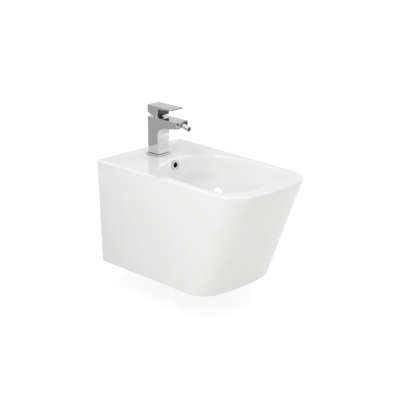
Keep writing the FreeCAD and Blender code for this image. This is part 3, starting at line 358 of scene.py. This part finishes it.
def new_piece(name, bm, material, sharp):
    """Object from a bmesh, smooth up to the given angle between faces in degrees."""
    bmesh.ops.recalc_face_normals(bm, faces=bm.faces)
    for face in bm.faces:
        face.smooth = True
    mesh = bpy.data.meshes.new(name)
    bm.to_mesh(mesh)
    bm.free()
    mesh.set_sharp_from_angle(angle=math.radians(sharp))
    mesh.materials.append(material)
    made = bpy.data.objects.new(name, mesh)
    bpy.context.scene.collection.objects.link(made)
    return made


def stand_for(made, node, body):
    """Puts a piece in the place of a CAD node."""
    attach(made, body)
    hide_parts(node)


def hex_nut(bm, corner, height, bore, place):
    """Nut from z 0 to height, chamfered at both ends and countersunk at its thread."""
    flat = corner * math.cos(math.radians(30))
    crown = 0.95 * flat
    sink = 0.12 * bore
    slope = math.tan(math.radians(30))

    def hexagon(turn):
        return flat / math.cos((turn + math.pi / 6) % (math.pi / 3) - math.pi / 6)

    rings = [
        (bore, height - sink),
        (bore + sink, height),
        (crown, height),
        (hexagon, height),
        (hexagon, 0.0),
        (crown, 0.0),
        (bore + sink, 0.0),
        (bore, sink),
    ]
    circle = bmesh.ops.create_circle(bm, segments=72, radius=bore)
    bmesh.ops.translate(bm, verts=circle["verts"], vec=(0, 0, sink))
    made = list(circle["verts"])
    edges = list({edge for vert in made for edge in vert.link_edges})
    for radius, z in rings:
        inward = -1 if z > 0.5 * height else 1
        grown = bmesh.ops.extrude_edge_only(bm, edges=edges)["geom"]
        edges = [item for item in grown if isinstance(item, bmesh.types.BMEdge)]
        for vert in (item for item in grown if isinstance(item, bmesh.types.BMVert)):
            turn = math.atan2(vert.co.y, vert.co.x)
            reach = radius(turn) if callable(radius) else radius
            chamfer = max(0.0, reach - crown) * slope
            vert.co = (reach * math.cos(turn), reach * math.sin(turn), z + inward * chamfer)
            made.append(vert)
    bmesh.ops.remove_doubles(bm, verts=made, dist=1e-7)
    bmesh.ops.transform(bm, verts=[vert for vert in made if vert.is_valid], matrix=place)


def threaded_rod(bm, radius, depth, pitch, low, high):
    """Rod on Z with a V thread, cut square at both ends."""
    steps = 32
    turns = math.ceil((high - low) / pitch) + 2
    start = low - 2 * pitch
    profile = []
    for i in range(2 * turns + 1):
        reach = radius if i % 2 else radius - depth
        profile.append(bm.verts.new((reach, 0, start + 0.5 * i * pitch)))
    edges = [bm.edges.new(pair) for pair in zip(profile, profile[1:])]
    bmesh.ops.spin(bm, geom=profile + edges, axis=(0, 0, 1), cent=(0, 0, 0), dvec=(0, 0, pitch / steps),
                   angle=2 * math.pi, steps=steps, use_merge=False)
    bmesh.ops.remove_doubles(bm, verts=bm.verts, dist=1e-6)
    for z, outward in ((low, -1), (high, 1)):
        everything = list(bm.verts) + list(bm.edges) + list(bm.faces)
        bmesh.ops.bisect_plane(bm, geom=everything, plane_co=(0, 0, z), plane_no=(0, 0, outward),
                               clear_outer=True)
        rim = [edge for edge in bm.edges if edge.is_boundary and abs(edge.verts[0].co.z - z) < 1e-6]
        bmesh.ops.edgeloop_fill(bm, edges=rim)


def coil_spring(bm, radius, wire, turns, low, high):
    """Coil on Z of round wire, from z low to high."""
    steps = 24 * turns
    rise = (high - low - 2 * wire) / steps
    place = Matrix.Translation((radius, 0, low + wire)) @ Matrix.Rotation(math.pi / 2, 4, "X")
    start = bmesh.ops.create_circle(bm, segments=12, radius=wire, matrix=place)["verts"]
    edges = list({edge for vert in start for edge in vert.link_edges})
    bmesh.ops.spin(bm, geom=start + edges, axis=(0, 0, 1), cent=(0, 0, 0), dvec=(0, 0, rise),
                   angle=2 * math.pi * turns, steps=steps, use_merge=False)
    bmesh.ops.holes_fill(bm, edges=[edge for edge in bm.edges if edge.is_boundary], sides=0)


class BIDET_OT_china(bpy.types.Operator):
    """Glazes the ceramic body"""

    bl_idname = "bidet.china"
    bl_label = "China body"

    def execute(self, context):
        dress(CHINA, glazed_china(context.scene.bidet_finishes))
        return {"FINISHED"}


class BIDET_OT_chrome(bpy.types.Operator):
    """Plates the tap, the lever, the nozzle, the overflow ring and the waste"""

    bl_idname = "bidet.chrome"
    bl_label = "Chrome trim"

    def execute(self, context):
        dress(CHROME, chrome_plate(context.scene.bidet_finishes))
        return {"FINISHED"}


class BIDET_OT_seals(bpy.types.Operator):
    """Finishes the rubber seals and gaskets"""

    bl_idname = "bidet.seals"
    bl_label = "Seals and gaskets"

    def execute(self, context):
        dress(RUBBER, sealing_rubber(context.scene.bidet_finishes))
        return {"FINISHED"}


class BIDET_OT_cartridge(bpy.types.Operator):
    """Finishes the cartridge, the plug mechanism, the aerator and the wall sleeves"""

    bl_idname = "bidet.cartridge"
    bl_label = "Cartridge and mouldings"

    def execute(self, context):
        finishes = context.scene.bidet_finishes
        dress(WHITE_PLASTIC, moulded_acetal("white_acetal", finishes.white_plastic))
        dress(GREY_PLASTIC, moulded_acetal("grey_acetal", finishes.grey_plastic))
        dress(ALUMINA, lapped_alumina(finishes))
        dress(INDEX, index_enamel(finishes))
        return {"FINISHED"}


def wall_nuts(sizes, finish):
    """Two nuts on the wall studs, on the Y axis."""
    low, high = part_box("wall_fixing_nuts")
    reach = MOUNTS["wall_bolts"]["dims"]["spacing_x_mm"] * MM / 2
    bm = bmesh.new()
    for x in (-reach, reach):
        place = Matrix.Translation((x, high.y, 0)) @ Matrix.Rotation(math.pi / 2, 4, "X")
        hex_nut(bm, high.x - reach, high.y - low.y, sizes.wall_nut_bore, place)
    made = new_piece("wall_fixing_nuts_chamfered", bm, finish, sharp=25)
    stand_for(made, "wall_fixing_nuts", "fixed_body")


def upright_nut(name, node, bore, finish):
    """Nut on the Z axis of its CAD node."""
    low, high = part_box(node)
    middle = (low + high) / 2
    place = Matrix.Translation((middle.x, middle.y, low.z))
    bm = bmesh.new()
    hex_nut(bm, (high.x - low.x) / 2, high.z - low.z, bore, place)
    stand_for(new_piece(name, bm, finish, sharp=25), node, "fixed_body")


def tap_stud(sizes, finish):
    """Threaded stud that pulls the tap down on the deck."""
    low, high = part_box("tap_stud")
    middle = (low + high) / 2
    bm = bmesh.new()
    threaded_rod(bm, (high.x - low.x) / 2, sizes.stud_depth, sizes.stud_pitch, low.z, high.z)
    bmesh.ops.translate(bm, verts=bm.verts, vec=(middle.x, middle.y, 0))
    stand_for(new_piece("tap_stud_threaded", bm, finish, sharp=30), "tap_stud", "fixed_body")


def plug_spring(sizes, finish):
    """Coil under the plug, with a mesh of its own."""
    low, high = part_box("plug_spring")
    middle = (low + high) / 2
    wire = sizes.spring_wire
    bm = bmesh.new()
    coil_spring(bm, (high.x - low.x) / 2 - wire, wire, sizes.spring_turns, low.z, high.z)
    bmesh.ops.translate(bm, verts=bm.verts, vec=(middle.x, middle.y, 0))
    spring = new_piece("plug_spring_coiled", bm, finish, sharp=60)
    stand_for(spring, "plug_spring", "fixed_body")
    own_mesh(spring)


class BIDET_OT_fasteners(bpy.types.Operator):
    """Finishes the small metal pieces and makes the nuts, the threaded tap stud and the plug spring"""

    bl_idname = "bidet.fasteners"
    bl_label = "Nuts, stud and spring"

    def execute(self, context):
        finishes = context.scene.bidet_finishes
        sizes = context.scene.bidet_fasteners
        zinc = bright_zinc(finishes)
        brass = machined_brass(finishes)
        dress(ZINC, zinc)
        dress(BRASS, brass)
        wall_nuts(sizes, zinc)
        upright_nut("waste_locknut_chamfered", "waste_locknut", sizes.waste_nut_bore, brass)
        upright_nut("tap_stud_nut_chamfered", "tap_stud_nut", sizes.stud_nut_bore, brass)
        tap_stud(sizes, zinc)
        plug_spring(sizes, zinc)
        return {"FINISHED"}


def looked_at(tree):
    """Output that is 1 for the camera, reflections and refractions, and 0 for all other light."""
    path = add(tree, "LightPath")
    seen = path.outputs["Is Camera Ray"]
    for ray in ("Is Glossy Ray", "Is Transmission Ray"):
        seen = add(tree, "Math", {0: seen, 1: path.outputs[ray]}, operation="MAXIMUM").outputs[0]
    return seen


def studio_floor(studio, drop):
    """Pale floor: white to the eye and in reflections, with the object's shadow kept on it."""
    glow_strength = 1.17
    glow_share = 0.72
    half_width = 15.0
    material, tree, place = new_finish("studio_floor")
    speckle = add(tree, "TexNoise", {"Vector": place, "Scale": per_mm(40)})
    tone = add(tree, "Mix", {0: speckle.outputs[0], 6: rgba(studio.floor_speckle), 7: rgba(studio.floor)},
               data_type="RGBA")
    matt = add(tree, "BsdfDiffuse", {"Color": tone.outputs[2]})
    glow = add(tree, "Emission", {"Color": (1, 1, 1, 1), "Strength": glow_strength})
    white = add(tree, "MixShader", {"Fac": glow_share, 1: matt.outputs[0], 2: glow.outputs[0]})
    both = add(tree, "MixShader", {"Fac": looked_at(tree), 1: matt.outputs[0], 2: white.outputs[0]})
    add(tree, "OutputMaterial", {"Surface": both.outputs[0]})
    bm = bmesh.new()
    bmesh.ops.create_grid(bm, x_segments=4, y_segments=4, size=half_width,
                          matrix=Matrix.Translation((0, 0, drop)))
    new_piece("studio_floor", bm, material, sharp=30)


def card(name, centre, target, size, shade, hidden):
    """Photographer's card, hidden from the camera and from the kinds of rays named."""
    material, tree, place = new_finish(name)
    glow = add(tree, "Emission", {"Color": rgba([shade] * 3), "Strength": 1.0})
    add(tree, "OutputMaterial", {"Surface": glow.outputs[0]})
    turn = (Vector(target) - Vector(centre)).to_track_quat("Z", "Y").to_matrix().to_4x4()
    bm = bmesh.new()
    bmesh.ops.create_grid(bm, x_segments=1, y_segments=1, size=0.5)
    bmesh.ops.scale(bm, verts=bm.verts, vec=(*size, 1))
    bmesh.ops.transform(bm, verts=bm.verts, matrix=Matrix.Translation(centre) @ turn)
    made = new_piece(name, bm, material, sharp=30)
    for ray in ("camera", "transmission", "volume_scatter", "shadow", *hidden):
        setattr(made, "visible_" + ray, False)


def studio_cards():
    """Cards that give the chrome its dark and grey tones, and one that shades the side at the wall."""
    tap = (0.0, -0.12, 0.18)
    mirrored = ["diffuse"]
    # Before the tap, mirrored by the fronts of lever and spout, by the nozzle and by rounded edges
    card("flag_front_right", (0.635, -0.778, 0.75), (0.0, -0.14, 0.75), (1.5, 0.7), 0.03, mirrored)
    card("flag_front_right_low", (0.635, -0.778, -0.005), (0.0, -0.14, -0.005), (1.5, 0.17), 0.11, mirrored)
    card("flag_front_left", (-0.69, -1.37, 0.5), tap, (2.4, 1.0), 0.03, mirrored)
    # Out of reflections, it takes light off the left side of the china near the wall
    card("flag_wall", (-0.75, 0.1, -0.16), (-0.75, -0.5, -0.16), (1.1, 0.48), 0.3, ["glossy"])
    # Behind the tap, mirrored by the left sides and by the tops of column, spout and lever
    card("flag_back_left", (-0.85, 0.75, -0.04), tap, (1.1, 0.5), 0.44, [])
    card("flag_back_left_high", (-0.85, 0.75, 0.4), (0.0, -0.12, 0.4), (1.1, 0.38), 0.15, mirrored)
    card("flag_back_right", (1.4, 1.3, 0.95), tap, (2.2, 1.2), 0.69, mirrored)


def softbox(name, place, target, size, energy, mirrored):
    """Square area lamp, which shows in reflections only if it is mirrored."""
    lamp = bpy.data.lights.new(name, "AREA")
    lamp.shape = "SQUARE"
    lamp.size = size
    lamp.energy = energy
    made = bpy.data.objects.new(name, lamp)
    made.location = place
    made.rotation_euler = (Vector(target) - Vector(place)).to_track_quat("-Z", "Y").to_euler()
    made.visible_glossy = mirrored
    bpy.context.scene.collection.objects.link(made)


def studio_lamps(studio):
    """A softbox on each side, and a small lamp over the bowl."""
    middle = (0.0, -0.3, 0.0)
    softbox("softbox_left", (-1.97, -0.828, 0.824), middle, 1.2, studio.left, mirrored=False)
    softbox("softbox_right", (1.97, -0.828, 0.824), middle, 1.2, studio.right, mirrored=False)
    softbox("lamp_high", (-0.9, -0.24, 1.24), (0.0, -0.35, 0.0), 0.3, studio.lamp, mirrored=True)


def studio_sky(strength):
    """World that is white to the eye and in reflections, and lights the object from all round."""
    world = bpy.data.worlds.new("studio")
    world.use_nodes = True
    tree = world.node_tree
    tree.nodes.clear()
    white = add(tree, "Background", {"Color": (1, 1, 1, 1), "Strength": 1.0})
    soft = add(tree, "Background", {"Color": (1, 1, 1, 1), "Strength": strength})
    both = add(tree, "MixShader", {"Fac": looked_at(tree), 1: soft.outputs[0], 2: white.outputs[0]})
    add(tree, "OutputWorld", {"Surface": both.outputs[0]})
    return world


def studio_camera(studio):
    """Camera at its angles and distance from the point that it looks at."""
    azimuth = studio.camera_azimuth
    rise = studio.camera_elevation
    level = math.cos(rise)
    back = Vector((math.sin(azimuth) * level, -math.cos(azimuth) * level, math.sin(rise)))
    place = Vector(studio.camera_aim) + back * studio.camera_distance
    turn = (-back).to_track_quat("-Z", "Y").to_matrix() @ Matrix.Rotation(studio.camera_roll, 3, "Z")
    lens = bpy.data.cameras.new("camera")
    lens.sensor_width = 36.0
    lens.lens = studio.camera_lens
    lens.shift_x, lens.shift_y = studio.camera_shift
    camera = bpy.data.objects.new("camera", lens)
    camera.matrix_world = Matrix.LocRotScale(place, turn.to_quaternion(), None)
    bpy.context.scene.collection.objects.link(camera)
    return camera


class BIDET_OT_studio(bpy.types.Operator):
    """Makes the camera, the floor, the cards and the light"""

    bl_idname = "bidet.studio"
    bl_label = "Studio"

    def execute(self, context):
        scene = context.scene
        studio = scene.bidet_studio
        scene.view_settings.view_transform = "Standard"
        scene.camera = studio_camera(studio)
        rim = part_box("ceramic_body")[1].z
        studio_floor(studio, rim - studio.rim_height)
        studio_cards()
        studio_lamps(studio)
        scene.world = studio_sky(studio.sky)
        return {"FINISHED"}


STEPS = (BIDET_OT_studio, BIDET_OT_china, BIDET_OT_chrome, BIDET_OT_seals, BIDET_OT_cartridge,
         BIDET_OT_fasteners)


class BIDET_PT_panel(bpy.types.Panel):
    """Lists the sizes, the colours and the steps"""

    bl_label = "Wall-hung bidet"
    bl_space_type = "VIEW_3D"
    bl_region_type = "UI"
    bl_category = "Bidet"

    def draw(self, context):
        scene = context.scene
        for step in STEPS:
            self.layout.operator(step.bl_idname)
        for group in (scene.bidet_finishes, scene.bidet_fasteners, scene.bidet_studio):
            box = self.layout.box()
            for name in group.__annotations__:
                box.prop(group, name)


CLASSES = (BidetFinishes, BidetFasteners, BidetStudio, *STEPS, BIDET_PT_panel)


def register():
    for item in CLASSES:
        bpy.utils.register_class(item)
    bpy.types.Scene.bidet_finishes = PointerProperty(type=BidetFinishes)
    bpy.types.Scene.bidet_fasteners = PointerProperty(type=BidetFasteners)
    bpy.types.Scene.bidet_studio = PointerProperty(type=BidetStudio)


def unregister():
    del bpy.types.Scene.bidet_finishes
    del bpy.types.Scene.bidet_fasteners
    del bpy.types.Scene.bidet_studio
    for item in reversed(CLASSES):
        bpy.utils.unregister_class(item)


def main():
    register()
    bpy.ops.bidet.studio()
    bpy.ops.bidet.china()
    bpy.ops.bidet.chrome()
    bpy.ops.bidet.seals()
    bpy.ops.bidet.cartridge()
    bpy.ops.bidet.fasteners()


if __name__ == "__main__":
    main()
